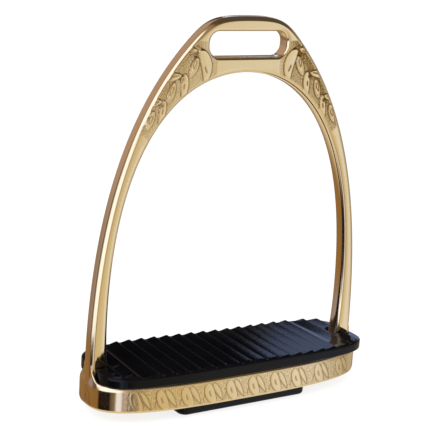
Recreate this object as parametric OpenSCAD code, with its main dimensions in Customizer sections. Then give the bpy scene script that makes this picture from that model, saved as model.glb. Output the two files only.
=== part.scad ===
// Stirrup iron with a slip-in rubber tread.
// X runs along the footplate, Y runs from the front face to the back face, Z is up.
// The origin is on the ground that the iron stands on, under the middle of the footplate.
// Inside the modules, heights are taken from the footplate's underside.

/* [Bow] */
// Width of the foot opening where it meets the tread
opening_w = 114; // [110:1:118]
// Height of the bow's crown above the underside of the footplate
bow_h = 159.4; // [156:0.1:164]
// Height of the top of the foot opening
opening_h = 136.4; // [133:0.1:137]
// Front to back thickness of the bow
bow_t = 6.4; // [5.8:0.1:8]
// Chamfer round the front and back edges of the bow
bow_chamfer = 1.2; // [0.6:0.1:1.8]

/* [Leather eye] */
// Width of the slot that the stirrup leather passes through
eye_w = 37.6; // [34:0.1:39]
// Height of that slot
eye_h = 10.4; // [9:0.1:11]
// Height of the middle of the slot
eye_z = 148.1; // [147.5:0.1:149]
// Radius of the slot's corners
eye_r = 4.6; // [2:0.1:5]

/* [Footplate] */
// How far each end of the footplate reaches past the foot opening
plate_end = 9.8; // [9.7:0.1:11]
// Half of the footplate's depth, front to back
plate_half_d = 21.4; // [20.6:0.1:23]
// Height of the footplate's side wall
plate_h = 11.1; // [9.5:0.1:13]
// Height of the open pocket under each end of the footplate
pocket_h = 7; // [3:0.5:8]
// Length of the window that the tread's block passes through
window_l = 67; // [66.6:0.1:68]
// Depth of that window
window_d = 36.4; // [36:0.1:37]
// Radius of the web that sweeps up from the end of the footplate into each leg
flare_r = 7; // [5:0.5:8]
// Thickness of that web
flare_t = 1.4; // [1:0.1:1.6]

/* [Tread] */
// How far each end of the rubber pad reaches past the foot opening
pad_end = 8.6; // [7.8:0.1:9.4]
// Half of the rubber pad's depth
pad_half_d = 20.9; // [20:0.1:22]
// Thickness of the pad under its ribs
pad_t = 4.2; // [3:0.1:6]
// Height of the saw-tooth ribs
rib_h = 1.1; // [0.5:0.1:1.5]
// Spacing of the ribs
rib_pitch = 6.35; // [5:0.05:8]
// Number of ribs in the middle group
rib_count = 15; // [13:1:15]
// Length of the block that holds the tread in the window
block_l = 64.2; // [60:0.1:64.4]
// Depth of that block
block_d = 35.8; // [30:0.1:35.8]
// How far the block stands out below the footplate
block_drop = 5; // [1:0.1:6]
// How far the tread sits off the middle, towards +X
tread_shift = 1.2; // [0:0.1:1.2]
// Gap between rubber and metal
gap = 0.3; // [0.2:0.05:0.35]

/* [Hidden] */
$fn = 48;

// Bow: the two Bezier curves of one half of the outer edge meet on the straight shoulder.
shoulder = [26.8, bow_h - 10.3];
shoulder_angle = 47;
crown_handle = 15.3;
crown_blend = 12.15;
shoulder_blend = 36.85;
leg_x = opening_w / 2 + 9.7;
leg_end_z = 14;
leg_handle = 67.5;

// Bow: one curve makes half of the arch, and one flares the inside of the leg to its foot.
arch_x = opening_w / 2 + 2.1;
arch_z = 34.6;
arch_crown_handle = 21.3;
arch_leg_handle = 87.6;
foot_rise = 1.8;
foot_turn = 3.4;
foot_root = 2.5;

// Bow: the steps along each curve, and the place on the outer curve that is level with arch_z.
foot_steps = 8;
arch_steps = 30;
crown_steps = 11;
leg_split = 0.105;

// Footplate: each layer of its wall is [height, inset from the widest outline].
plate_top_inset = 0.8;
plate_layers = [[0, 0.35], [0.5, 0.1], [1.2, 0], [8.5, 0], [plate_h - 0.5, 0.3],
    [plate_h, plate_top_inset]];
plate_half_l = opening_w / 2 + plate_end;
plate_power = 3.0;
plate_steps = 80;
flare_inset = 0.9;
window_r = 4;
pocket = [[36, opening_w / 2 - 3], 13];
pocket_slot = [[41, 49], 9];

// Tread: the pad rests on the plate, with the least gap that keeps the two apart.
pad_half_l = opening_w / 2 + pad_end;
pad_power = 4.6;
pad_z = plate_h + 0.05;
pad_edge = [[0, 0.4], [0.5, 0], [pad_t - 0.5, 0], [pad_t, 0.5]];
notch_x = opening_w / 2 - 0.4;
notch_lean = 1.2;
rib_inset = 0.7;
rib_crest = 0.72;
rib_first = -48.9;
end_ribs = [-64.3, -58, 49.2, 55.5];
block_r = 3.9;
block_chamfer = 0.8;

brass = "#cdb27a";
rubber = "#1b1c20";

// Points on a cubic Bezier curve from t0 up to t1, without the last point.
function bezier(a, b, c, d, steps, t0 = 0, t1 = 1) = [
    for (i = [0 : steps - 1])
        let (t = t0 + (t1 - t0) * i / steps, s = 1 - t)
        s * s * s * a + 3 * s * s * t * b + 3 * s * t * t * c + t * t * t * d
];

// A right-hand half and the same points mirrored in X, joined at the top.
function both_sides(half, top) = concat(
    half, [top], [for (i = [len(half) - 1 : -1 : 0]) [-half[i].x, half[i].y]]
);

// A line of points moved to its left by d.
function left_of(a, b) = [a.y - b.y, b.x - a.x] / norm(b - a);
function moved_left(points, d) = [
    for (i = [0 : len(points) - 1])
        let (last = len(points) - 1)
        points[i] + d * left_of(points[max(i - 1, 0)], points[min(i + 1, last)])
];

// Rounded oblong: a superellipse with half sizes l and d.
function signed_power(v, p) = sign(v) * pow(abs(v), p);
function oblong(l, d, power) = [
    for (i = [0 : plate_steps - 1])
        let (a = 360 * (i + 0.5) / plate_steps)
        [l * signed_power(cos(a), 2 / power), d * signed_power(sin(a), 2 / power)]
];

// Outer edge of the bow, from the right foot over the crown to the left foot.
shoulder_dir = [cos(shoulder_angle), -sin(shoulder_angle)];
leg_curve = [
    [leg_x, leg_end_z], [leg_x, leg_end_z + leg_handle], shoulder + shoulder_blend * shoulder_dir, shoulder
];
outer_edge = both_sides(concat(
    [[leg_x, foot_root]],
    bezier(leg_curve[0], leg_curve[1], leg_curve[2], leg_curve[3], foot_steps, 0, leg_split),
    bezier(leg_curve[0], leg_curve[1], leg_curve[2], leg_curve[3], arch_steps - crown_steps, leg_split, 1),
    bezier(shoulder, shoulder - crown_blend * shoulder_dir, [crown_handle, bow_h], [0, bow_h], crown_steps)
), [0, bow_h]);

// Edge of the foot opening, in the same direction and with as many points.
foot_x = opening_w / 2;
inner_edge = both_sides(concat(
    [[foot_x, foot_root]],
    bezier([foot_x, plate_h], [foot_x, plate_h + foot_rise],
        [arch_x, plate_h + foot_turn], [arch_x, arch_z], foot_steps),
    bezier([arch_x, arch_z], [arch_x, arch_z + arch_leg_handle],
        [arch_crown_handle, opening_h], [0, opening_h], arch_steps)
), [0, opening_h]);

// Solid through a stack of outlines that all have the same number of points.
module loft(layers) {
    n = len(layers[0]);
    top = n * (len(layers) - 1);
    polyhedron(
        points = [for (layer = layers) for (p = layer) p],
        faces = concat(
            [[for (i = [0 : n - 1]) i]],
            [for (k = [0 : len(layers) - 2]) for (i = [0 : n - 1])
                let (j = (i + 1) % n) [k * n + i, (k + 1) * n + i, (k + 1) * n + j, k * n + j]],
            [[for (i = [n - 1 : -1 : 0]) top + i]]
        )
    );
}

function lifted(points, z) = [for (p = points) [p.x, p.y, z]];

// Box with rounded upright corners between two corners in plan.
module rounded_box(x, y, z, r) {
    for (cx = [x[0] + r, x[1] - r], cy = [y[0] + r, y[1] - r])
        translate([cx, cy, z[0]]) cylinder(r = r, h = z[1] - z[0]);
    translate([x[0] + r, y[0], z[0]]) cube([x[1] - x[0] - 2 * r, y[1] - y[0], z[1] - z[0]]);
    translate([x[0], y[0] + r, z[0]]) cube([x[1] - x[0], y[1] - y[0] - 2 * r, z[1] - z[0]]);
}

// The bow: an eight-sided section carried from the right foot to the left foot.
module bow() {
    face = bow_t / 2;
    side = face - bow_chamfer;
    outer_face = moved_left(outer_edge, bow_chamfer);
    inner_face = moved_left(inner_edge, -bow_chamfer);
    function at(p, y) = [p.x, y, p.y];
    loft([for (i = [0 : len(outer_edge) - 1]) [
        at(outer_edge[i], -side), at(outer_edge[i], side), at(outer_face[i], face), at(inner_face[i], face),
        at(inner_edge[i], side), at(inner_edge[i], -side), at(inner_face[i], -face), at(outer_face[i], -face)
    ]]);
}

// Slot for the stirrup leather.
module leather_eye() {
    rotate([90, 0, 0])
        rounded_box([-eye_w / 2, eye_w / 2], [eye_z - eye_h / 2, eye_z + eye_h / 2],
            [-bow_t, bow_t], eye_r);
}

// Section of the web at the foot of a leg, seen along X, grown by a clearance.
module flare_section(clearance) {
    side = bow_t / 2 + flare_r;
    difference() {
        translate([-side, -1]) square([2 * side, flare_r + 1]);
        for (s = [-1, 1]) translate([s * side, flare_r]) circle(r = flare_r - clearance);
    }
}

// Web that follows the end of the footplate and sweeps up into the right-hand leg.
module flare(clearance) {
    outside = flare_inset - clearance;
    inside = flare_inset + flare_t + clearance;
    intersection() {
        translate([foot_x - 10, 0, plate_h]) rotate([90, 0, 90])
            linear_extrude(height = 30) flare_section(clearance);
        translate([0, 0, plate_h - 1]) linear_extrude(height = flare_r + 2) difference() {
            polygon(oblong(plate_half_l - outside, plate_half_d - outside, plate_power));
            polygon(oblong(plate_half_l - inside, plate_half_d - inside, plate_power));
        }
    }
}

// Footplate: a walled frame with a window for the tread's block and a pocket under each end.
module footplate() {
    difference() {
        loft([for (k = plate_layers)
            lifted(oblong(plate_half_l - k[1], plate_half_d - k[1], plate_power), k[0])]);
        rounded_box([-window_l / 2, window_l / 2], [-window_d / 2, window_d / 2],
            [-1, plate_h + 1], window_r);
        for (s = [0, 1]) mirror([s, 0, 0]) {
            rounded_box(pocket[0], [-pocket[1], pocket[1]], [-1, pocket_h], window_r);
            rounded_box(pocket_slot[0], [-pocket_slot[1], pocket_slot[1]],
                [pocket_h - 1, plate_h + 1], window_r - 0.5);
        }
    }
}

// One brass casting: bow, leather eye and footplate.
module iron() {
    color(brass) translate([0, 0, block_drop]) difference() {
        union() {
            bow();
            footplate();
            for (s = [0, 1]) mirror([s, 0, 0]) flare(0);
        }
        leather_eye();
    }
}

// One saw-tooth rib that starts at x and runs front to back.
module rib(x) {
    translate([x, pad_half_d, pad_z + pad_t]) rotate([90, 0, 0])
        linear_extrude(height = 2 * pad_half_d)
            polygon([[0, -0.5], [0, 0], [rib_crest * rib_pitch, rib_h], [rib_pitch, 0],
                [rib_pitch, -0.5]]);
}

// Rubber pad with its saw-tooth top.
module pad() {
    loft([for (k = pad_edge)
        lifted(oblong(pad_half_l - k[1], pad_half_d - k[1], pad_power), pad_z + k[0])]);
    intersection() {
        translate([0, 0, pad_z]) linear_extrude(height = pad_t + rib_h + 1)
            polygon(oblong(pad_half_l - rib_inset, pad_half_d - rib_inset, pad_power));
        union() {
            for (i = [0 : rib_count - 1]) rib(rib_first + i * rib_pitch);
            for (x = end_ribs) rib(x);
        }
    }
}

// Block under the pad. Its lower edge is chamfered.
module block() {
    x = block_l / 2;
    y = block_d / 2;
    rounded_box([-x, x], [-y, y], [block_chamfer - block_drop, pad_z + 1], block_r);
    rounded_box([block_chamfer - x, x - block_chamfer], [block_chamfer - y, y - block_chamfer],
        [-block_drop, pad_z], block_r - block_chamfer / 2);
}

// Notch for the right-hand leg. Its end wall leans outwards, as the leg's foot does.
module notch() {
    half = bow_t / 2 + gap;
    function lean(z) = notch_x + notch_lean * z / pad_t;
    top = pad_t + rib_h + 1;
    translate([0, half, pad_z]) rotate([90, 0, 0]) linear_extrude(height = 2 * half)
        polygon([[lean(-1), -1], [notch_x + 20, -1], [notch_x + 20, top], [lean(top), top]]);
}

// Moulded rubber tread, notched round both legs.
module tread() {
    color(rubber) translate([0, 0, block_drop]) difference() {
        translate([tread_shift, 0, 0]) union() {
            pad();
            block();
        }
        for (s = [0, 1]) mirror([s, 0, 0]) {
            notch();
            flare(gap);
        }
    }
}

iron();
tread();
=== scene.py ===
"""Stirrup iron: an engraved polished brass casting with a ribbed rubber tread.

Everything is built in millimetres above the underside of the footplate, then moved into the frame.
"""

import math

import bmesh
import bpy
import numpy as np
from mathutils import Matrix, Vector
from mathutils.geometry import delaunay_2d_cdt


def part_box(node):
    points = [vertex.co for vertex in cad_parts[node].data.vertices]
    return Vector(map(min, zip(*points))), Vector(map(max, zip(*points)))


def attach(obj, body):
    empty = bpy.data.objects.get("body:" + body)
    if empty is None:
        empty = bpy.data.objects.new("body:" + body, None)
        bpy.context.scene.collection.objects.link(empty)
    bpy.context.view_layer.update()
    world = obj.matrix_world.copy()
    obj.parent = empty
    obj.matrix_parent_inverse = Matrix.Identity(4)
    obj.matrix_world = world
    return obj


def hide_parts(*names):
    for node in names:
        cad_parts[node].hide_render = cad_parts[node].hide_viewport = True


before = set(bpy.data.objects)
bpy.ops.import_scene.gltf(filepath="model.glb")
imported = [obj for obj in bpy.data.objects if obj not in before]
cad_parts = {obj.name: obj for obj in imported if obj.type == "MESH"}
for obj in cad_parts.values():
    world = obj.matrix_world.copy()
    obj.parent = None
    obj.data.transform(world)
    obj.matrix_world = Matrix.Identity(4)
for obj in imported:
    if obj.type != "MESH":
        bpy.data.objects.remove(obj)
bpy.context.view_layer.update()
iron_low, iron_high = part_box("iron")
tread_low, tread_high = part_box("tread")

MM = 0.001
GROUND_GAP = iron_low.z / MM

# Bow. Stations run up the leg to STATION_Z, then STATION_K for each radian round the arch.
BOW_H = (iron_high.z - iron_low.z) / MM
OPENING_H = 136.4
HALF_T = 3.2
FACE_CROWN = 0.34
CROWN_REACH = 3.2
EDGE_R = 1.95
RIM_ROWS = 5
LEG_X = 66.7
FOOT_X = 57.0
ARCH_X = 59.1
FOOT_ROOT = 2.5
SHOULDER = (26.8, BOW_H - 10.3)
SHOULDER_ANGLE = 47.0
STATION_Z = 98.0
STATION_K = 60.0

# Leather eye
EYE_HALF_W = 18.8
EYE_HALF_H = 5.2
EYE_Z = 148.1
EYE_R = 4.6
EYE_EDGE_R = 1.3

# Footplate. The openings are (half length, half depth, corner radius).
PLATE_L = iron_high.x / MM
PLATE_D = iron_high.y / MM
PLATE_H = 11.1
PLATE_POWER = 3.0
FLARE_R = 7.0
FLARE_T = 1.4
WALL_TOP = 8.5
WINDOW = (33.5, 18.2, 4.0)
POCKET_X = 45.0
POCKET = (9.0, 13.0, 4.0)
POCKET_H = 7.0
POCKET_SLOT = (4.0, 9.0, 3.5)
EASED = 0.3

# Engraving: the lowest of it on the bow, the highest on the wall, mesh steps and the leaves' places.
ENGRAVED_Z = 108.0
WALL_ENGRAVED_Z = 10.6
FINE_STEP = 0.27
PLAIN_STEP = 0.55
WALL_STEP = 0.33
WALL_LEAVES = (-80, -52.7, -41.4, -30.2, -19.4, -8.9, 2.3, 13.7, 24.8, 37.9, 51.3, 66, 80)

# Tread. The pad's edge is (height, inset from its widest outline).
TREAD_SHIFT = (tread_high.x + tread_low.x) / 2 / MM
PAD_L = (tread_high.x - tread_low.x) / 2 / MM
PAD_D = tread_high.y / MM
PAD_POWER = 4.6
PAD_Z = 11.15
PAD_T = 4.2
PAD_EDGE = [(0, 0.4), (0.2, 0.15), (0.5, 0), (1.6, 0), (2.8, 0), (3.65, 0), (3.9, 0.05), (4.08, 0.17),
            (4.17, 0.34), (4.2, 0.52)]
RIB_H = 1.1
RIB_PITCH = 6.35
RIB_CREST = 0.72
RIB_STARTS = [-64.3, -58.0, 49.2, 55.5] + [-48.9 + i * RIB_PITCH for i in range(15)]
RIB_BLUNT = 0.05
NOTCH_X = FOOT_X - 0.4
NOTCH_LEAN = 1.2
NOTCH_HALF = HALF_T + 0.3
NOTCH_MOUTH = 1.9
CURL = 1.5
BLOCK = (32.1, 17.9, 3.9)


# ---------------------------------------------------------------- curves

def bezier(points, steps):
    a, b, c, d = (np.array(p, float) for p in points)
    t = np.linspace(0, 1, steps + 1)[:, None]
    s = 1 - t
    return s**3 * a + 3 * s * s * t * b + 3 * s * t * t * c + t**3 * d


def smoothstep(low, high, x):
    t = np.clip((x - low) / (high - low), 0, 1)
    return t * t * (3 - 2 * t)


def resample_closed(loop, spacing):
    """Points at even steps round a closed loop."""
    ring = np.vstack([loop, loop[:1]])
    run = np.r_[0, np.cumsum(np.linalg.norm(np.diff(ring, axis=0), axis=1))]
    count = max(8, int(round(run[-1] / spacing)))
    at = np.linspace(0, run[-1], count, endpoint=False)
    return np.column_stack([np.interp(at, run, ring[:, 0]), np.interp(at, run, ring[:, 1])])


def inward(loop):
    """Unit vectors that point into a closed loop that runs anticlockwise."""
    along = np.roll(loop, -1, axis=0) - np.roll(loop, 1, axis=0)
    normal = np.column_stack([-along[:, 1], along[:, 0]])
    return normal / np.linalg.norm(normal, axis=1)[:, None]


def oblong(length, depth, power, spacing):
    """Superellipse that runs anticlockwise from (length, 0)."""
    a = np.linspace(0, 2 * math.pi, 4000, endpoint=False)
    c, s = np.cos(a), np.sin(a)
    ring = np.column_stack([
        length * np.sign(c) * np.abs(c) ** (2 / power),
        depth * np.sign(s) * np.abs(s) ** (2 / power),
    ])
    return resample_closed(ring, spacing)


def rounded_rectangle(half_x, half_y, r, spacing, centre=(0.0, 0.0)):
    corners = []
    for sx, sy, start in ((1, 1, 0), (-1, 1, 90), (-1, -1, 180), (1, -1, 270)):
        for a in np.radians(np.linspace(start, start + 90, 25)):
            corners.append((sx * (half_x - r) + r * math.cos(a), sy * (half_y - r) + r * math.sin(a)))
    return resample_closed(np.array(corners), spacing) + np.array(centre)


# ---------------------------------------------------------------- mesh building

class Shell:
    """The points and faces of one mesh, added piece by piece, and how dark each point is painted, by stain
    and by painted shade.
    """

    def __init__(self):
        self.points = []
        self.stains_and_shades = []
        self.faces = []
        self.count = 0

    def add(self, points, stain_and_shade=0.0):
        start = self.count
        self.points.append(np.asarray(points, float))
        self.stains_and_shades.append(np.broadcast_to(stain_and_shade, (len(points),)))
        self.count += len(points)
        return np.arange(start, self.count)

    def strip(self, rows, stains_and_shades=0.0):
        """Quads between closed rows of points. Returns the indices of every row."""
        rows = np.asarray(rows, float)
        n_rows, n = rows.shape[:2]
        stains_and_shades = np.broadcast_to(stains_and_shades, (n_rows, n)).reshape(-1)
        index = self.add(rows.reshape(-1, 3), stains_and_shades).reshape(n_rows, n)
        a, b = index[:-1], index[1:]
        quads = np.stack([a, np.roll(a, -1, axis=1), np.roll(b, -1, axis=1), b], axis=-1)
        self.faces.extend(quads.reshape(-1, 4).tolist())
        return index

    def fill(self, loops, flat_loops, flat_inner=(), inner_points=(), lines=(), stain_and_shade=0.0):
        """Triangles inside closed loops of existing points, through some new points."""
        inner = self.add(inner_points, stain_and_shade) if len(inner_points) else np.array([], int)
        index = np.concatenate(list(loops) + [inner])
        flat = np.vstack(list(flat_loops) + ([flat_inner] if len(inner) else []))
        edges, start = [], 0
        for loop in flat_loops:
            n = len(loop)
            edges += [(start + i, start + (i + 1) % n) for i in range(n)]
            start += n
        edges += [(start + i, start + j) for i, j in lines]
        result = delaunay_2d_cdt([Vector(p) for p in flat], edges, [], 0, 1e-6)
        source = np.array([o[0] for o in result[3]])
        triangles = source[np.array(result[2])]
        keep = inside(flat[triangles].mean(axis=1), flat_loops)
        self.faces.extend(index[triangles[keep]].tolist())

    def build(self, name):
        points = np.vstack(self.points) + [0, 0, GROUND_GAP]
        mesh = bpy.data.meshes.new(name)
        mesh.from_pydata((points * MM).tolist(), [], self.faces)
        work = bmesh.new()
        work.from_mesh(mesh)
        bmesh.ops.recalc_face_normals(work, faces=work.faces)
        work.to_mesh(mesh)
        work.free()
        # This attribute holds the stain in the engraving and the painted shade on the shoulders.
        stain_and_shade = mesh.attributes.new("stain_and_shade", "FLOAT", "POINT")
        stain_and_shade.data.foreach_set("value", np.clip(np.concatenate(self.stains_and_shades), 0, 1).astype(np.float32))
        piece = bpy.data.objects.new(name, mesh)
        bpy.context.scene.collection.objects.link(piece)
        return piece


def inside(points, loops):
    """Whether each point is inside the loops, where a loop inside another is a hole."""
    a = np.vstack(loops)
    b = np.vstack([np.roll(loop, -1, axis=0) for loop in loops])
    result = np.zeros(len(points), bool)
    for start in range(0, len(points), 2000):
        p = points[start:start + 2000, None]
        spans = (a[:, 1] > p[..., 1]) != (b[:, 1] > p[..., 1])
        with np.errstate(divide="ignore", invalid="ignore"):
            x = a[:, 0] + (p[..., 1] - a[:, 1]) / (b[:, 1] - a[:, 1]) * (b[:, 0] - a[:, 0])
        result[start:start + 2000] = (spans & (p[..., 0] < x)).sum(axis=1) % 2 == 1
    return result


def distance(points, loops):
    """Distance from each point to the nearest edge of the loops."""
    a = np.vstack(loops)
    ab = np.vstack([np.roll(loop, -1, axis=0) for loop in loops]) - a
    length = (ab * ab).sum(axis=1)
    result = np.zeros(len(points))
    for start in range(0, len(points), 1000):
        ap = points[start:start + 1000, None] - a
        t = np.clip((ap * ab).sum(axis=2) / length, 0, 1)
        away = ap - t[..., None] * ab
        result[start:start + 1000] = np.sqrt((away * away).sum(axis=2).min(axis=1))
    return result


# ---------------------------------------------------------------- engraving

def leaf_frame(p, axis, steps=28):
    """Share of the way along a curved axis, and signed distance from it, for each point."""
    a, b, c = (np.array(q, float) for q in axis)
    t = np.linspace(0, 1, steps + 1)[:, None]
    line = (1 - t) ** 2 * a + 2 * (1 - t) * t * b + t * t * c
    start, step = line[:-1], np.diff(line, axis=0)
    length = (step * step).sum(axis=1)
    ap = p[:, None] - start
    share = np.clip((ap * step).sum(axis=2) / length, 0, 1)
    away = ap - share[..., None] * step
    gap = (away * away).sum(axis=2)
    best = gap.argmin(axis=1)
    row = np.arange(len(p))
    along = (best + share[row, best]) / steps
    side = step[best, 0] * ap[row, best, 1] - step[best, 1] * ap[row, best, 0]
    return along, np.sqrt(gap[row, best]) * np.sign(side)


class Relief:
    """Height and darkness of an engraved surface, from stain and painted shade, painted one leaf at a time
    over its ground.
    """

    def __init__(self, p, ground, stain_and_shade):
        self.p = p
        self.height = ground
        self.stain_and_shade = stain_and_shade

    def nearby(self, axis, reach):
        low = np.min(axis, axis=0) - reach
        high = np.max(axis, axis=0) + reach
        return np.where(((self.p > low) & (self.p < high)).all(axis=1))[0]

    def leaf(self, axis, width, blunt=0.5, point=0.75, rise=0.17, line=0.21, dark=0.95):
        """A smooth leaf on a curved axis, with a dark line cut round it.

        The smaller blunt and point are, the fuller are the leaf's two ends.
        """
        near = self.nearby(axis, width + 1)
        t, side = leaf_frame(self.p[near], axis)
        peak = blunt / (blunt + point)
        scale = width / (peak**blunt * (1 - peak) ** point)
        half = np.maximum(scale * np.clip(t, 1e-4, 1) ** blunt * np.clip(1 - t, 1e-4, 1) ** point, 1e-3)
        edge = half - np.abs(side)
        dome = 0.55 + 0.45 * np.sqrt(np.clip(edge / width, 0, 1))
        cover = smoothstep(-0.1, 0.2, edge)
        groove = np.exp(-((edge / line) ** 2))
        height = self.height[near] * (1 - cover) + rise * dome * cover
        self.height[near] = height - 0.6 * rise * groove
        self.stain_and_shade[near] = np.maximum(self.stain_and_shade[near] * (1 - cover), dark * groove)

    def cut(self, axis, width=0.2, depth=0.1, dark=0.85):
        """A groove along a curved axis, fading at its ends."""
        near = self.nearby(axis, width * 3)
        t, side = leaf_frame(self.p[near], axis)
        fade = smoothstep(-0.02, 0.25, t) * smoothstep(-0.02, 0.25, 1 - t)
        groove = np.exp(-((side / width) ** 2)) * fade
        self.height[near] -= depth * groove
        self.stain_and_shade[near] = np.maximum(self.stain_and_shade[near], dark * groove)

    def ridge(self, axis, width=0.22, height=0.12):
        """A raised bright line along a curved axis."""
        near = self.nearby(axis, width * 3)
        t, side = leaf_frame(self.p[near], axis)
        fade = smoothstep(-0.02, 0.2, t) * smoothstep(-0.02, 0.2, 1 - t)
        crest = np.exp(-((side / width) ** 2)) * fade
        self.height[near] += height * crest
        self.stain_and_shade[near] *= 1 - crest

    # Painted shade: a shallow bowl whose colour is also darkened, standing for the dark reflections in the
    # hollow.
    def dimple_with_painted_shade(self, centre, radius, depth, dark):
        bowl = np.exp(-((np.linalg.norm(self.p - centre, axis=1) / radius) ** 2))
        self.height -= depth * bowl
        self.stain_and_shade = np.maximum(self.stain_and_shade, dark * bowl)

    def masked(self, mask):
        return self.height * mask, self.stain_and_shade * mask


def stipple(p, cell, size, seed):
    """Small round punch marks scattered one to a cell."""
    best = np.zeros(len(p))
    base = np.floor(p / cell)
    for dx in (-1, 0, 1):
        for dy in (-1, 0, 1):
            c = base + [dx, dy]
            h1 = np.sin(c[:, 0] * 127.1 + c[:, 1] * 311.7 + seed) * 43758.5453
            h2 = np.sin(c[:, 0] * 269.5 + c[:, 1] * 183.3 + seed) * 28001.8384
            jitter = np.column_stack([h1 - np.floor(h1), h2 - np.floor(h2)])
            centre = (c + 0.2 + 0.6 * jitter) * cell
            away = np.linalg.norm(p - centre, axis=1)
            best = np.maximum(best, np.exp(-(away / size) ** 2))
    return best


# Sprigs run down each shoulder. Each has a node, a leaf that reaches the opening's edge, a leaf that
# reaches the outer edge and an almond with a teardrop in it. Points are (|x|, height).
SPRIGS = [
    {
        "node": (25.0, 144.7),
        "inner": [(23.7, 146.0), (17.9, 139.7), (21.0, 132.4)],
        "inner_w": 2.7,
        "slit": [(21.2, 139.8), (20.7, 138.0), (19.7, 136.4)],
        "outer": [(25.0, 145.7), (27.5, 146.1), (30.3, 144.8)],
        "outer_w": 1.4,
        "outer_slit": [(25.9, 145.4), (27.5, 145.2), (29.1, 144.6)],
        "almond": [(24.6, 143.2), (25.3, 139.4), (28.1, 134.6)],
        "almond_w": 2.0,
        "tear": [(25.4, 142.0), (25.9, 140.4), (26.1, 138.4)],
    },
    {
        "node": (31.1, 135.4),
        "inner": [(29.9, 136.4), (29.5, 131.1), (30.7, 126.0)],
        "inner_w": 1.9,
        "slit": [(30.2, 132.8), (30.3, 131.5), (30.4, 130.1)],
        "outer": [(31.5, 135.7), (35.5, 136.0), (39.9, 133.7)],
        "outer_w": 1.65,
        "outer_slit": [(32.4, 135.9), (34.1, 136.0), (35.9, 135.3)],
        "almond": [(34.5, 133.4), (35.6, 128.7), (37.4, 124.4)],
        "almond_w": 1.8,
        "tear": [(35.3, 131.6), (35.8, 129.7), (36.5, 128.0)],
    },
    {
        "node": (39.6, 125.0),
        "inner": [(38.8, 126.2), (39.2, 121.0), (40.8, 116.0)],
        "inner_w": 1.7,
        "slit": [(39.3, 123.0), (39.5, 121.7), (39.8, 120.3)],
        "outer": [(39.9, 125.5), (43.2, 126.2), (46.5, 122.8)],
        "outer_w": 1.55,
        "outer_slit": [(40.9, 125.6), (42.5, 125.7), (44.1, 124.7)],
        "almond": [(43.3, 122.2), (44.3, 118.2), (46.3, 114.0)],
        "almond_w": 1.65,
        "tear": [(44.2, 120.1), (44.7, 118.5), (45.4, 116.9)],
    },
]
BORDER_X = 15.5
ENGRAVING_TOP = 149.4
ENGRAVING_END = ((48.9, 112.1), (-0.60, 0.80))
SPINE = ((25.0, 144.9), (0.806, 0.592))


def along_from(p, origin, heading):
    """How far each point lies from an origin along a heading."""
    return (p[:, 0] - origin[0]) * heading[0] + (p[:, 1] - origin[1]) * heading[1]


def shoulder_relief(p):
    """Height of the engraving at each point (|x|, height) of the bow's face, and its darkness: stain in the
    cuts and painted shade at the nodes.
    """
    x, z = p[:, 0], p[:, 1]
    mask = smoothstep(0, 1.2, along_from(p, *ENGRAVING_END))
    mask *= smoothstep(BORDER_X - 0.3, BORDER_X + 0.3, x) * smoothstep(0.4, -0.4, z - ENGRAVING_TOP)
    # The ground is punched with dots, and darker outside the spine that joins the nodes.
    outside = smoothstep(-1.5, 1.5, along_from(p, *SPINE))
    dots = stipple(p, 0.74, 0.25, 1.0)
    relief = Relief(p, -0.12 + 0.12 * dots, (0.36 + 0.34 * outside) * (1.0 - 0.95 * dots))
    relief.cut([(29.9, 146.2), (25.8, 149.4), (20.8, 145.6)], 0.3, 0.16)
    for sprig in SPRIGS:
        node = np.array(sprig["node"])
        # Painted shade: each node is a bowl painted dark.
        relief.dimple_with_painted_shade(node, 2.3, 0.36, 0.8)
        relief.leaf(sprig["inner"], sprig["inner_w"], blunt=0.45, point=0.65)
        relief.leaf(sprig["outer"], sprig["outer_w"], blunt=0.5, point=0.5)
        relief.leaf(sprig["almond"], sprig["almond_w"], blunt=0.65, point=0.7, rise=0.1)
        a, b, c = (np.array(q) for q in sprig["almond"])
        across = np.array([c[1] - a[1], a[0] - c[0]]) / np.linalg.norm(c - a)
        for swell in (-1.24, 1.24):
            relief.ridge([a, b + swell * sprig["almond_w"] * across, c], 0.26, 0.16)
        relief.leaf(sprig["tear"], 0.55, blunt=0.6, point=0.8, rise=0.16, line=0.17)
        relief.cut(sprig["slit"], 0.26, 0.16)
        relief.cut(sprig["outer_slit"], 0.24, 0.14)
        # Painted shade in a second, smaller bowl just below the node.
        relief.dimple_with_painted_shade(node + [0.3, -0.9], 0.9, 0.22, 0.8)
        relief.ridge([node + [-0.6, 0.6], node + [-2.0, 1.2], node + [-3.6, 0.6]], 0.24, 0.16)
    return relief.masked(mask)


def wall_relief(p):
    """Height and stain of the engraving at each point (distance round the plate, height)."""
    z = p[:, 1]
    mask = smoothstep(0.5, 1.0, z) * smoothstep(WALL_ENGRAVED_Z, WALL_ENGRAVED_Z - 0.5, z)
    dots = stipple(p * [0.9, 1.0], 0.86, 0.24, 4.0) * smoothstep(58.5, 56.5, np.abs(p[:, 0]))
    relief = Relief(p, -0.05 * dots, 0.75 * dots)
    for place in WALL_LEAVES:
        def curve(*offsets):
            return [np.array([place, 5.6]) + offset for offset in offsets]

        relief.leaf(curve((1.3, 3.9), (4.2, -0.4), (6.6, -4.6)), 1.25, blunt=0.5, point=0.9, rise=0.08)
        relief.leaf(curve((-1.1, 3.9), (-0.9, -0.8), (2.7, -4.9)), 2.35, blunt=0.36, point=0.4, rise=0.08)
        relief.cut(curve((-0.5, 1.0), (-0.5, -0.7), (0.7, -2.2)), 0.3, 0.1)
        relief.cut(curve((-2.4, -0.4), (-3.4, -2.2), (-3.0, -4.4)), 0.2, 0.08)
    return relief.masked(mask)


# ---------------------------------------------------------------- iron

def station(p):
    """Where a point is along the bow: its height on the leg, and its angle round the arch."""
    x, z = p[:, 0], p[:, 1]
    return np.where(z < STATION_Z, z, STATION_Z + STATION_K * np.arctan2(z - STATION_Z, x))


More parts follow.
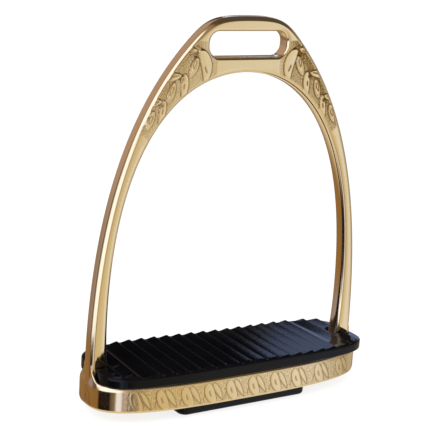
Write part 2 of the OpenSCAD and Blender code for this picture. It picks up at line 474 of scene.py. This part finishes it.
def bow_stations():
    top = STATION_Z + STATION_K * math.pi / 2
    return np.concatenate([
        [FOOT_ROOT],
        np.arange(5, 30, 1.0),
        np.arange(30, ENGRAVED_Z, 2.0),
        np.arange(ENGRAVED_Z, 177, 0.3),
        np.linspace(177, top, 29),
    ])


def bow_edges():
    """Right-hand halves of the bow's outer and inner edges, as points at the same stations."""
    slope = np.array([math.cos(math.radians(SHOULDER_ANGLE)), -math.sin(math.radians(SHOULDER_ANGLE))])
    shoulder = np.array(SHOULDER)
    outer = np.vstack([
        [[LEG_X, FOOT_ROOT]],
        bezier([(LEG_X, 14), (LEG_X, 81.5), shoulder + 36.85 * slope, shoulder], 300),
        bezier([shoulder, shoulder - 12.15 * slope, (15.3, BOW_H), (0, BOW_H)], 120)[1:],
    ])
    inner = np.vstack([
        [[FOOT_X, FOOT_ROOT]],
        bezier([(FOOT_X, PLATE_H), (FOOT_X, 12.9), (ARCH_X, 14.5), (ARCH_X, 34.6)], 60),
        bezier([(ARCH_X, 34.6), (ARCH_X, 122.2), (21.3, OPENING_H), (0, OPENING_H)], 400)[1:],
    ])
    at = bow_stations()
    halves = []
    for line in (outer, inner):
        u = station(line)
        halves.append(np.column_stack([np.interp(at, u, line[:, 0]), np.interp(at, u, line[:, 1])]))
    return halves


def mirrored(half):
    """A right-hand half that ends on the middle line, with its left-hand twin after it."""
    return np.vstack([half, half[-2::-1] * [-1, 1]])


def face_height(away, relief):
    """Half thickness of the bow at each distance from its rounded edges' outer limits."""
    return HALF_T + FACE_CROWN * (1 - (1 - np.clip(away / CROWN_REACH, 0, 1)) ** 2) + relief


def engraved(away):
    """Share of the engraving's depth at each distance from an edge: none on the rounding."""
    return smoothstep(0.7 * EDGE_R, 1.05 * EDGE_R, away)


def add_bow(shell):
    outer_half, inner_half = bow_edges()
    outer, inner = mirrored(outer_half), mirrored(inner_half)
    sole = np.array([[FOOT_X + 2.7, FOOT_ROOT], [LEG_X - 2.7, FOOT_ROOT]])
    bow_loop = np.vstack([outer, sole[::-1] * [-1, 1], inner[::-1], sole])
    eye_loop = rounded_rectangle(EYE_HALF_W, EYE_HALF_H, EYE_R, 0.4, (0, EYE_Z))
    loops = [bow_loop, eye_loop]

    # The rounded rim goes from the face round to the side, and to the other face.
    front_rims, back_rims, flat_rims = [], [], []
    for loop, normal, r in ((bow_loop, inward(bow_loop), EDGE_R), (eye_loop, -inward(eye_loop), EYE_EDGE_R)):
        front, stains_and_shades = [], []
        for turn in np.radians(np.linspace(0, 90, RIM_ROWS + 1)):
            flat = loop + normal * r * (1 - math.sin(turn))
            away = EDGE_R - r * math.sin(turn)
            relief, stain_and_shade = shoulder_relief(np.abs(flat))
            height = face_height(away, relief * engraved(away)) - r * (1 - math.cos(turn))
            front.append(np.column_stack([flat[:, 0], -height, flat[:, 1]]))
            stains_and_shades.append(stain_and_shade * engraved(away))
        back = [row * [1, -1, 1] for row in front[::-1]]
        index = shell.strip(front + back, stains_and_shades + stains_and_shades[::-1])
        front_rims.append(index[0])
        back_rims.append(index[-1])
        flat_rims.append(front[0][:, [0, 2]])

    # Points inside the faces: a fine grid where it is engraved, and rows along plain legs.
    fine_x = BORDER_X - 1.2
    fine = grid_points(FINE_STEP, fine_x, 56.5, ENGRAVED_Z + 0.5, BOW_H)
    middle = grid_points(PLAIN_STEP, 0, fine_x - PLAIN_STEP / 2, 130, BOW_H)
    inner_flat = [fine, fine * [-1, 1], middle, (middle * [-1, 1])[middle[:, 0] > 1e-6]]
    leg = bow_stations() < ENGRAVED_Z
    for share in (0.26, 0.42, 0.58, 0.74):
        row = (outer_half * share + inner_half * (1 - share))[leg]
        inner_flat += [row, row * [-1, 1]]
    flat = np.vstack(inner_flat)
    flat = flat[inside(flat, loops)]
    away = np.minimum(distance(flat, [bow_loop]), distance(flat, [eye_loop]) + EDGE_R - EYE_EDGE_R)
    clear = away > EDGE_R + 0.16
    flat, away = flat[clear], away[clear]
    relief, stain_and_shade = shoulder_relief(np.abs(flat))
    height = face_height(away, relief * engraved(away))
    for side, rims in ((-1, front_rims), (1, back_rims)):
        points = np.column_stack([flat[:, 0], side * height, flat[:, 1]])
        # Painted shade: the right shoulder is painted darker than the left, by scaling up its dark colour.
        right_shoulder_shade = 1 + smoothstep(15, 22, flat[:, 0])
        shell.fill(rims, flat_rims, flat, points, stain_and_shade=stain_and_shade * right_shoulder_shade * engraved(away))


def grid_points(step, x0, x1, z0, z1):
    x, z = np.meshgrid(np.arange(x0, x1, step), np.arange(z0, z1, step))
    return np.column_stack([x.ravel(), z.ravel()])


def flare_height(y):
    """Top of the web that sweeps from the plate's end up into a leg."""
    reach = np.clip(HALF_T + FLARE_R - np.abs(y), 0, FLARE_R)
    return PLATE_H + FLARE_R - np.sqrt(FLARE_R**2 - reach**2)


def wall_inset(z):
    """How far the footplate's wall is drawn in at a height from its widest outline."""
    low = 0.35 * (np.clip(1.2 - z, 0, 1.2) / 1.2) ** 2
    high = 0.8 * (np.clip(z - WALL_TOP, 0, None) / 2.6) ** 3.5
    return low + high


def footplate_wall(loop):
    """Rows of points from the footplate's underside up its wall and over its rim, and their stains."""
    normal = inward(loop)
    step = np.linalg.norm(np.roll(loop, -1, axis=0) - loop, axis=1)
    run = np.r_[0, np.cumsum(step)]
    total = run[-1]
    run = run[:-1]
    # Distance round the plate is counted from the middle of each long side.
    around = np.where(loop[:, 1] < 0, run - 0.75 * total, run - 0.25 * total)
    n = len(loop)
    rows, stains_and_shades = [], []

    def add_row(z, inset, stain_and_shade=0.0):
        flat = loop + normal * np.broadcast_to(inset, (n,))[:, None]
        rows.append(np.column_stack([flat, np.broadcast_to(z, (n,))]))
        stains_and_shades.append(np.broadcast_to(stain_and_shade, (n,)))

    for z in (0.0, 0.2, 0.5):
        add_row(z, wall_inset(z))
    for z in np.linspace(0.8, WALL_TOP, 26):
        height, stain_and_shade = wall_relief(np.column_stack([around, np.full(n, z)]))
        add_row(z, wall_inset(z) - height, stain_and_shade)

    # At the ends the wall goes on up as the web of each leg.
    ends = np.abs(loop[:, 0]) > 50
    crest = np.where(ends, flare_height(loop[:, 1]), PLATE_H)
    web = smoothstep(0.0, 0.5, crest - PLATE_H)
    web_inset = 0.45 * smoothstep(8.0, 13.0, crest)
    r = FLARE_T / 2
    for share in np.linspace(0.17, 1.0, 6):
        z = WALL_TOP + share * (crest - r * web - WALL_TOP)
        plain = wall_inset(np.minimum(z, PLATE_H))
        height, stain_and_shade = wall_relief(np.column_stack([around, np.minimum(z, WALL_ENGRAVED_Z)]))
        inset = (1 - web) * plain + web * web_inset * smoothstep(8.0, 14.0, z)
        add_row(z, inset - height, stain_and_shade)
    top = web_inset * smoothstep(8.0, 14.0, crest)
    for turn in np.radians([40, 90, 140, 180]):
        web_in = top + r * (1 - math.cos(turn))
        plain_in = 0.8 + 0.8 * turn / math.pi
        add_row(crest - r * web * (1 - math.sin(turn)), (1 - web) * plain_in + web * web_in)
    add_row(PLATE_H, (1 - web) * 1.8 + web * (top + FLARE_T + 0.1))
    return rows, stains_and_shades


def upright(loop, levels):
    """Rows round a loop, one for each (height, how far the row is moved outwards)."""
    out = -inward(loop)
    return [np.column_stack([loop + out * shift, np.full(len(loop), z)]) for z, shift in levels]


def add_footplate(shell):
    rows, stains_and_shades = footplate_wall(oblong(PLATE_L, PLATE_D, PLATE_POWER, WALL_STEP))
    index = shell.strip(rows, stains_and_shades)
    bottom = [(index[0], rows[0][:, :2])]
    top = [(index[-1], rows[-1][:, :2])]

    # The window goes right through, with its edges eased.
    low = [(0.0, EASED), (EASED, 0.0)]
    high = [(PLATE_H - EASED, 0.0), (PLATE_H, EASED)]
    rows = upright(rounded_rectangle(*WINDOW, 0.8), low + high)
    index = shell.strip(rows)
    bottom.append((index[0], rows[0][:, :2]))
    top.append((index[-1], rows[-1][:, :2]))

    # Under each end is a pocket with a smaller slot above it.
    for side in (-1, 1):
        middle = (side * POCKET_X, 0)
        ceiling = [(POCKET_H, 0.0)]
        pocket = upright(rounded_rectangle(*POCKET, 0.8, middle), low + ceiling)
        slot = upright(rounded_rectangle(*POCKET_SLOT, 0.8, middle), ceiling + high)
        pocket_index = shell.strip(pocket)
        slot_index = shell.strip(slot)
        shell.fill([pocket_index[-1], slot_index[0]], [pocket[-1][:, :2], slot[0][:, :2]])
        bottom.append((pocket_index[0], pocket[0][:, :2]))
        top.append((slot_index[-1], slot[-1][:, :2]))
    for face in (bottom, top):
        shell.fill([index for index, _ in face], [flat for _, flat in face])


def build_iron():
    shell = Shell()
    add_bow(shell)
    add_footplate(shell)
    return shell.build("iron_casting")


# ---------------------------------------------------------------- tread

def tooth(x):
    """Height of the saw-tooth ribs at each x, measured from the tread's middle."""
    height = np.zeros(len(x))
    blunt = 1 - RIB_BLUNT / RIB_CREST
    for start in RIB_STARTS:
        t = (x - start) / RIB_PITCH
        peak = np.minimum(t / RIB_CREST, (1 - t) / (1 - RIB_CREST))
        peak = np.where(peak > blunt, blunt + (peak - blunt) * 0.4, peak)
        height = np.maximum(height, RIB_H * np.clip(peak, 0, None))
    return height


def tooth_breaks():
    """Every x at which the ribs' outline turns."""
    shares = (0.0, RIB_CREST * 0.94, RIB_CREST, RIB_CREST + 0.06 * (1 - RIB_CREST), 1.0)
    breaks = sorted({round(start + share * RIB_PITCH, 3) for start in RIB_STARTS for share in shares})
    kept = [breaks[0]]
    for x in breaks[1:]:
        if x - kept[-1] > 0.05:
            kept.append(x)
    return np.array(kept)


def notch_edge(side):
    """Three sides of the notch at one end of the pad, from its mouth inwards and out again."""
    r = 0.5
    edge = side * NOTCH_X - TREAD_SHIFT
    mouth = side * PAD_L * (1 - (NOTCH_HALF / PAD_D) ** PAD_POWER) ** (1 / PAD_POWER)
    wall = [mouth] + list(np.linspace(mouth - side * NOTCH_MOUTH, edge + side * r, 9))
    end = list(np.linspace(NOTCH_HALF - r, -NOTCH_HALF + r, 10))
    ys = [NOTCH_HALF] * len(wall) + end + [-NOTCH_HALF] * len(wall)
    return np.column_stack([wall + [edge] * len(end) + wall[::-1], ys])


def pad_outline(spacing):
    """The pad's outline with a notch at each end that lets a leg through."""
    ring = oblong(PAD_L, PAD_D, PAD_POWER, spacing)
    past_leg = np.abs(ring[:, 0] + TREAD_SHIFT) > NOTCH_X
    ring = ring[~(past_leg & (np.abs(ring[:, 1]) < NOTCH_HALF + NOTCH_MOUTH))]
    right, left = ring[ring[:, 0] > 0], ring[ring[:, 0] < 0]
    right_notch = notch_edge(1)[::-1]
    half = len(right_notch) // 2
    return np.vstack([
        right_notch[half:],
        right[right[:, 1] > 0],
        left[left[:, 1] > 0],
        notch_edge(-1),
        left[left[:, 1] < 0],
        right[right[:, 1] < 0],
        right_notch[:half],
    ])


def warped(points):
    """Points of the pad with its back left corner curled up a little, as worn rubber is."""
    x, y, z = points.T
    curl = np.clip((y + PAD_D) / (2 * PAD_D), 0, 1) * np.clip((-5 - x) / 45, -0.35, 1)
    lift = CURL * curl * np.clip((z - PAD_Z) / PAD_T, 0, 1)
    return np.column_stack([x, y, z + lift])


def rib_lines(flat_top):
    """Points along every turn of the ribs inside an outline, and the pairs that a line joins."""
    points, lines = [], []
    for x in tooth_breaks():
        y = np.arange(-PAD_D, PAD_D, 1.3)
        line = np.column_stack([np.full(len(y), x + TREAD_SHIFT), y])
        ok = inside(line, [flat_top])
        ok[ok] = distance(line[ok], [flat_top]) > 0.3
        previous = None
        for i in np.where(ok)[0]:
            if previous == i - 1:
                lines.append((len(points) - 1, len(points)))
            points.append(line[i])
            previous = i
    return np.array(points), lines


def add_pad(shell):
    loop = pad_outline(0.55)
    normal = inward(loop)
    # The notch's end wall leans outwards, as the leg does, and its side walls stretch to meet it.
    from_end = np.clip((NOTCH_X + 5 - np.abs(loop[:, 0] + TREAD_SHIFT)) / 4.5, 0, 1)
    beside_leg = np.abs(loop[:, 1]) < NOTCH_HALF + 0.01
    lean = np.sign(loop[:, 0]) * NOTCH_LEAN * from_end * beside_leg
    rows = []
    for z, inset in PAD_EDGE:
        flat = loop + normal * inset
        flat[:, 0] += lean * z / PAD_T
        rows.append(np.column_stack([flat, np.full(len(loop), PAD_Z + z)]))
    for inset, share in ((0.62, 0.3), (0.95, 1.0)):
        flat = loop + normal * inset
        flat[:, 0] += lean
        rows.append(np.column_stack([flat, PAD_Z + PAD_T + share * tooth(flat[:, 0])]))
    rows = [warped(row + [TREAD_SHIFT, 0, 0]) for row in rows]
    index = shell.strip(rows)
    flat_top = rows[-1][:, :2]
    flat, lines = rib_lines(flat_top)
    height = PAD_Z + PAD_T + tooth(flat[:, 0] - TREAD_SHIFT)
    shell.fill([index[-1]], [flat_top], flat, warped(np.column_stack([flat, height])), lines)
    shell.fill([index[0]], [rows[0][:, :2]])


def add_block(shell):
    """The block, from its eased foot on the ground up into the pad."""
    loop = rounded_rectangle(*BLOCK, 0.6) + [TREAD_SHIFT, 0]
    foot = [(0.0, -1.3), (0.12, -0.85), (0.4, -0.4), (0.8, -0.12), (1.3, 0.0)]
    rows = upright(loop, [(z - GROUND_GAP, shift) for z, shift in foot] + [(PAD_Z + 0.5, 0.0)])
    index = shell.strip(rows)
    for end in (0, -1):
        shell.fill([index[end]], [rows[end][:, :2]])


def build_tread():
    shell = Shell()
    add_pad(shell)
    add_block(shell)
    return shell.build("rubber_tread")


# ---------------------------------------------------------------- materials

def new_material(name):
    material = bpy.data.materials.new(name)
    material.use_nodes = True
    tree = material.node_tree
    return material, tree, tree.nodes["Principled BSDF"]


def node(tree, kind, **inputs):
    """A node whose input values are given by name, and whose other settings start with set_."""
    made = tree.nodes.new(kind)
    for key, value in inputs.items():
        if key.startswith("set_"):
            setattr(made, key[4:], value)
        else:
            made.inputs[key.replace("_", " ")].default_value = value
    return made


def mix_colour(tree, share, a, b):
    """A colour between a and b, each of which is a colour or an output."""
    made = node(tree, "ShaderNodeMix", set_data_type="RGBA")
    tree.links.new(share, made.inputs[0])
    for socket, value in ((made.inputs[6], a), (made.inputs[7], b)):
        if isinstance(value, tuple):
            socket.default_value = (*value, 1)
        else:
            tree.links.new(value, socket)
    return made.outputs[2]


def ramp(tree, value, start, end, low=0.0, high=1.0, style="LINEAR"):
    """A value that goes from low to high as another goes from start to end."""
    made = node(tree, "ShaderNodeMapRange", set_interpolation_type=style)
    for name, number in (("From Min", start), ("From Max", end), ("To Min", low), ("To Max", high)):
        made.inputs[name].default_value = number
    tree.links.new(value, made.inputs["Value"])
    return made.outputs["Result"]


def noise(tree, place, scale, detail):
    made = node(tree, "ShaderNodeTexNoise", Scale=scale, Detail=detail)
    tree.links.new(place, made.inputs["Vector"])
    return made.outputs["Fac"]


def multiply_add(tree, value, factor, extra):
    made = node(tree, "ShaderNodeMath", set_operation="MULTIPLY_ADD")
    tree.links.new(value, made.inputs[0])
    made.inputs[1].default_value = factor
    tree.links.new(extra, made.inputs[2])
    return made.outputs[0]


def roughen(tree, shader, height, strength, distance):
    bump = node(tree, "ShaderNodeBump", Strength=strength, Distance=distance)
    tree.links.new(height, bump.inputs["Height"])
    tree.links.new(bump.outputs["Normal"], shader.inputs["Normal"])


def brass_material():
    material, tree, shader = new_material("engraved_brass")
    link = tree.links.new
    place = node(tree, "ShaderNodeTexCoord").outputs["Object"]
    shader.inputs["Metallic"].default_value = 1.0

    # Slow drifts of colour, and brown stain down in the engraving, which also carries painted shade at the
    # shoulders' nodes and over the right shoulder.
    stain_and_shade = node(tree, "ShaderNodeAttribute", set_attribute_name="stain_and_shade").outputs["Fac"]
    tone = mix_colour(tree, noise(tree, place, 45.0, 3.0), (0.83, 0.66, 0.41), (0.80, 0.61, 0.34))
    link(mix_colour(tree, stain_and_shade, tone, (0.26, 0.14, 0.02)), shader.inputs["Base Color"])

    # Polishing haze, which is duller where it is stained or painted with shade.
    haze = ramp(tree, noise(tree, place, 160.0, 4.0), 0.0, 1.0, 0.06, 0.14)
    link(multiply_add(tree, stain_and_shade, 0.35, haze), shader.inputs["Roughness"])

    # Hairline scratches up and down, over slow ripples left by the buffing wheel.
    stretch = node(tree, "ShaderNodeMapping")
    stretch.inputs["Scale"].default_value = (900, 900, 60)
    link(place, stretch.inputs["Vector"])
    scratch = noise(tree, stretch.outputs["Vector"], 1.0, 2.0)
    ripple = noise(tree, place, 120.0, 1.0)
    roughen(tree, shader, multiply_add(tree, ripple, 6.0, scratch), 0.25, 0.00002)
    return material


def rubber_material():
    material, tree, shader = new_material("ribbed_rubber")
    link = tree.links.new
    place = node(tree, "ShaderNodeTexCoord").outputs["Object"]
    cloud = noise(tree, place, 70.0, 5.0)
    tone = mix_colour(tree, cloud, (0.0012, 0.0012, 0.0018), (0.0035, 0.0036, 0.0045))
    link(tone, shader.inputs["Base Color"])
    link(ramp(tree, cloud, 0.0, 1.0, 0.05, 0.11), shader.inputs["Roughness"])
    shader.inputs["IOR"].default_value = 1.25
    roughen(tree, shader, noise(tree, place, 1800.0, 2.0), 0.4, 0.00005)
    return material


# ---------------------------------------------------------------- surroundings

def direction(azimuth, elevation):
    """Unit vector at an azimuth from +Y towards +X, and an elevation above the horizon."""
    a, e = math.radians(azimuth), math.radians(elevation)
    return (math.sin(a) * math.cos(e), math.cos(a) * math.cos(e), math.sin(e))


# What polished metal mirrors near the horizon: azimuth, colour.
RING = [
    (-180, (0.60, 0.54, 0.42)),
    (-171, (0.50, 0.42, 0.32)),
    (-163, (0.62, 0.54, 0.46)),
    (-152, (1.35, 1.52, 2.00)),
    (-95, (1.35, 1.52, 2.00)),
    (-80, (0.45, 0.38, 0.33)),
    (-66, (0.12, 0.09, 0.08)),
    (-57, (0.16, 0.13, 0.13)),
    (-46, (0.40, 0.37, 0.50)),
    (-37, (0.38, 0.33, 0.38)),
    (-31, (0.37, 0.28, 0.27)),
    (20, (0.36, 0.27, 0.22)),
    (75, (0.42, 0.37, 0.30)),
    (108, (0.46, 0.42, 0.34)),
    (122, (0.62, 0.58, 0.52)),
    (137, (0.95, 1.00, 1.20)),
    (147, (0.84, 0.87, 0.84)),
    (154, (0.78, 0.73, 0.56)),
    (170, (0.72, 0.66, 0.50)),
    (180, (0.60, 0.54, 0.42)),
]

# What the footplate's wall mirrors, from 18 degrees below the horizon down: azimuth, colour.
LOW_RING = [
    (-180, (0.72, 0.64, 0.46)),
    (-177, (0.42, 0.35, 0.22)),
    (-172, (0.38, 0.37, 0.28)),
    (-169, (0.10, 0.05, 0.05)),
    (-167, (0.30, 0.25, 0.22)),
    (-164, (0.95, 0.92, 1.05)),
    (-160, (0.30, 0.24, 0.26)),
    (-156, (1.00, 1.08, 1.50)),
    (-148, (1.05, 1.15, 1.70)),
    (-143, (0.24, 0.20, 0.14)),
    (-134, (0.16, 0.12, 0.07)),
    (-129, (0.015, 0.007, 0.006)),
    (-88, (0.015, 0.007, 0.006)),
    (-80, (0.30, 0.18, 0.07)),
    (-27, (0.33, 0.20, 0.08)),
    (20, (0.33, 0.23, 0.15)),
    (75, (0.55, 0.50, 0.42)),
    (108, (0.62, 0.58, 0.48)),
    (137, (0.95, 1.00, 1.15)),
    (147, (0.84, 0.84, 0.78)),
    (154, (0.78, 0.71, 0.50)),
    (180, (0.72, 0.64, 0.46)),
]

# What is mirrored above the upper ring, and what is mirrored straight below.
SKY = (0.36, 0.28, 0.24)
GROUND = (0.85, 0.82, 0.74)

# Soft patches over the sky and the upper ring: azimuth, elevation, half angle where the patch is
# full, half angle where it has faded out, colour.
PATCHES = [
    (-24, 30, 22, 40, (0.52, 0.39, 0.35)),
    (-118, 35, 24, 34, (1.35, 1.52, 2.00)),
    (125, 45, 28, 42, (0.09, 0.08, 0.06)),
    (80, 62, 32, 44, (0.10, 0.08, 0.06)),
    (33, 6, 9, 16, (0.27, 0.165, 0.09)),
    (34, 24, 7, 11, (0.05, 0.05, 0.06)),
]

# Cards that the rubber mirrors, so that its left part is black and its right part slate blue.
# Their corners are (x, height) in metres.
CARD_Y = 0.425
BLACK_CARD = [(0.0, 0.22), (0.16, 0.235), (0.211, 0.262), (0.2265, 0.38), (0.12, 0.37), (0.0, 0.35)]
SLATE_CARD = [(0.217, 0.288), (0.325, 0.288), (0.337, 0.17), (0.5, 0.17), (0.5, 0.42), (0.230, 0.41)]


def ring_colour(tree, turn, shades):
    """Colour round the horizon, where turn goes from 0 to 1 as the azimuth goes from -180 to 180."""
    ring = node(tree, "ShaderNodeValToRGB")
    stops = ring.color_ramp.elements
    for stop, (azimuth, shade) in zip((stops[0], stops[1]), (shades[0], shades[-1])):
        stop.position = (azimuth + 180) / 360
        stop.color = (*shade, 1)
    for azimuth, shade in shades[1:-1]:
        stops.new((azimuth + 180) / 360).color = (*shade, 1)
    tree.links.new(turn, ring.inputs[0])
    return ring.outputs["Color"]


def with_patch(tree, heading, colour, patch):
    """A colour with one soft round patch over it."""
    azimuth, elevation, full, faded, shade = patch
    dot = node(tree, "ShaderNodeVectorMath", set_operation="DOT_PRODUCT")
    tree.links.new(heading, dot.inputs[0])
    dot.inputs[1].default_value = direction(azimuth, elevation)
    edges = math.cos(math.radians(faded)), math.cos(math.radians(full))
    share = ramp(tree, dot.outputs["Value"], *edges, style="SMOOTHSTEP")
    return mix_colour(tree, share, colour, shade)


def build_world():
    world = bpy.data.worlds.new("studio")
    bpy.context.scene.world = world
    world.use_nodes = True
    tree = world.node_tree
    tree.nodes.clear()
    link = tree.links.new
    heading = node(tree, "ShaderNodeTexCoord").outputs["Generated"]
    split = node(tree, "ShaderNodeSeparateXYZ")
    link(heading, split.inputs[0])
    bearing = node(tree, "ShaderNodeMath", set_operation="ARCTAN2")
    link(split.outputs["X"], bearing.inputs[0])
    link(split.outputs["Y"], bearing.inputs[1])
    turn = ramp(tree, bearing.outputs[0], -math.pi, math.pi)

    def above(low, high, style="LINEAR"):
        """Share that grows from 0 to 1 between two elevations."""
        edges = math.sin(math.radians(low)), math.sin(math.radians(high))
        return ramp(tree, split.outputs["Z"], *edges, style=style)

    colour = mix_colour(tree, above(8, 20, "SMOOTHSTEP"), ring_colour(tree, turn, RING), SKY)
    for patch in PATCHES:
        colour = with_patch(tree, heading, colour, patch)
    colour = mix_colour(tree, above(-18.5, -16.5), ring_colour(tree, turn, LOW_RING), colour)
    colour = mix_colour(tree, above(-48, -28, "SMOOTHSTEP"), GROUND, colour)

    # The camera and matt surfaces see plain white, and polished ones see those colours.
    path = node(tree, "ShaderNodeLightPath")
    background = node(tree, "ShaderNodeBackground")
    seen = mix_colour(tree, path.outputs["Is Glossy Ray"], (1.0, 1.0, 1.0), colour)
    link(seen, background.inputs["Color"])
    output = node(tree, "ShaderNodeOutputWorld")
    link(background.outputs[0], output.inputs["Surface"])


def flat_piece(name, corners):
    """A flat piece of the surroundings with one face, and its material."""
    mesh = bpy.data.meshes.new(name)
    mesh.from_pydata(corners, [], [range(len(corners))])
    piece = bpy.data.objects.new(name, mesh)
    bpy.context.scene.collection.objects.link(piece)
    material, _, shader = new_material(name)
    mesh.materials.append(material)
    return piece, shader


def build_floor():
    half = 12.0
    corners = [(-half, -half, 0), (half, -half, 0), (half, half, 0), (-half, half, 0)]
    floor, shader = flat_piece("floor", corners)
    # The floor glows a little, as a light table does, so shadows on it stay faint.
    shader.inputs["Base Color"].default_value = (0.2, 0.2, 0.2, 1)
    shader.inputs["Emission Color"].default_value = (1, 1, 1, 1)
    shader.inputs["Emission Strength"].default_value = 0.82
    shader.inputs["Roughness"].default_value = 0.9
    shader.inputs["Specular IOR Level"].default_value = 0.1
    floor.visible_glossy = False


def add_card(name, colour, corners):
    """A flat card behind the iron that shows only as a reflection."""
    card, shader = flat_piece(name, [(x, CARD_Y, z + GROUND_GAP * MM) for x, z in corners])
    shader.inputs["Base Color"].default_value = (0, 0, 0, 1)
    shader.inputs["Specular IOR Level"].default_value = 0
    shader.inputs["Emission Color"].default_value = (*colour, 1)
    shader.inputs["Emission Strength"].default_value = 1
    card.visible_camera = False
    card.visible_diffuse = False
    card.visible_shadow = False


def add_light(name, azimuth, elevation, reach, size, power):
    light = bpy.data.lights.new(name, "AREA")
    light.size = size
    light.energy = power
    lamp = bpy.data.objects.new(name, light)
    aim = Vector((0, 0, 0.07))
    lamp.location = aim + Vector(direction(azimuth, elevation)) * reach
    lamp.rotation_euler = (aim - lamp.location).to_track_quat("-Z", "Y").to_euler()
    lamp.visible_glossy = False
    bpy.context.scene.collection.objects.link(lamp)


def build_camera():
    azimuth, elevation, roll = math.radians(-33.01), math.radians(15.111), math.radians(3.92)
    target = Vector((-4.495, 0, 68.17 + GROUND_GAP)) * MM
    reach = 0.533712
    back = Vector((
        math.sin(azimuth) * math.cos(elevation),
        -math.cos(azimuth) * math.cos(elevation),
        math.sin(elevation),
    ))
    right = (-back).cross(Vector((0, 0, 1))).normalized()
    up = right.cross(-back)
    x_axis = math.cos(roll) * right + math.sin(roll) * up
    y_axis = -math.sin(roll) * right + math.cos(roll) * up
    turn = Matrix((x_axis, y_axis, back)).transposed()

    camera = bpy.data.cameras.new("camera")
    camera.lens = 104.506
    camera.sensor_width = 36
    camera.shift_x = -0.0161
    camera.shift_y = 0.038
    camera.clip_start = 0.01
    stand = bpy.data.objects.new("camera", camera)
    stand.matrix_world = Matrix.Translation(target + back * reach) @ turn.to_4x4()
    bpy.context.scene.collection.objects.link(stand)
    bpy.context.scene.camera = stand


# ---------------------------------------------------------------- scene

iron = build_iron()
tread = build_tread()
for piece, body, material, slot in (
    (iron, "iron", brass_material(), "polished_brass"),
    (tread, "tread", rubber_material(), "tread_rubber"),
):
    piece.data.materials.append(material)
    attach(piece, body)
    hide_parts(body)
iron.data.shade_smooth()
tread.data.shade_smooth()
iron.data.set_sharp_from_angle(angle=math.radians(50))
tread.data.set_sharp_from_angle(angle=math.radians(24))

bpy.context.scene.view_settings.view_transform = "Standard"
build_world()
build_floor()
add_card("black_card", (0.0, 0.0, 0.0), BLACK_CARD)
add_card("slate_card", (0.9, 1.15, 1.9), SLATE_CARD)
add_light("key", -120, 50, 0.9, 0.7, 5.0)
add_light("fill", 120, 40, 1.0, 0.8, 2.5)
build_camera()
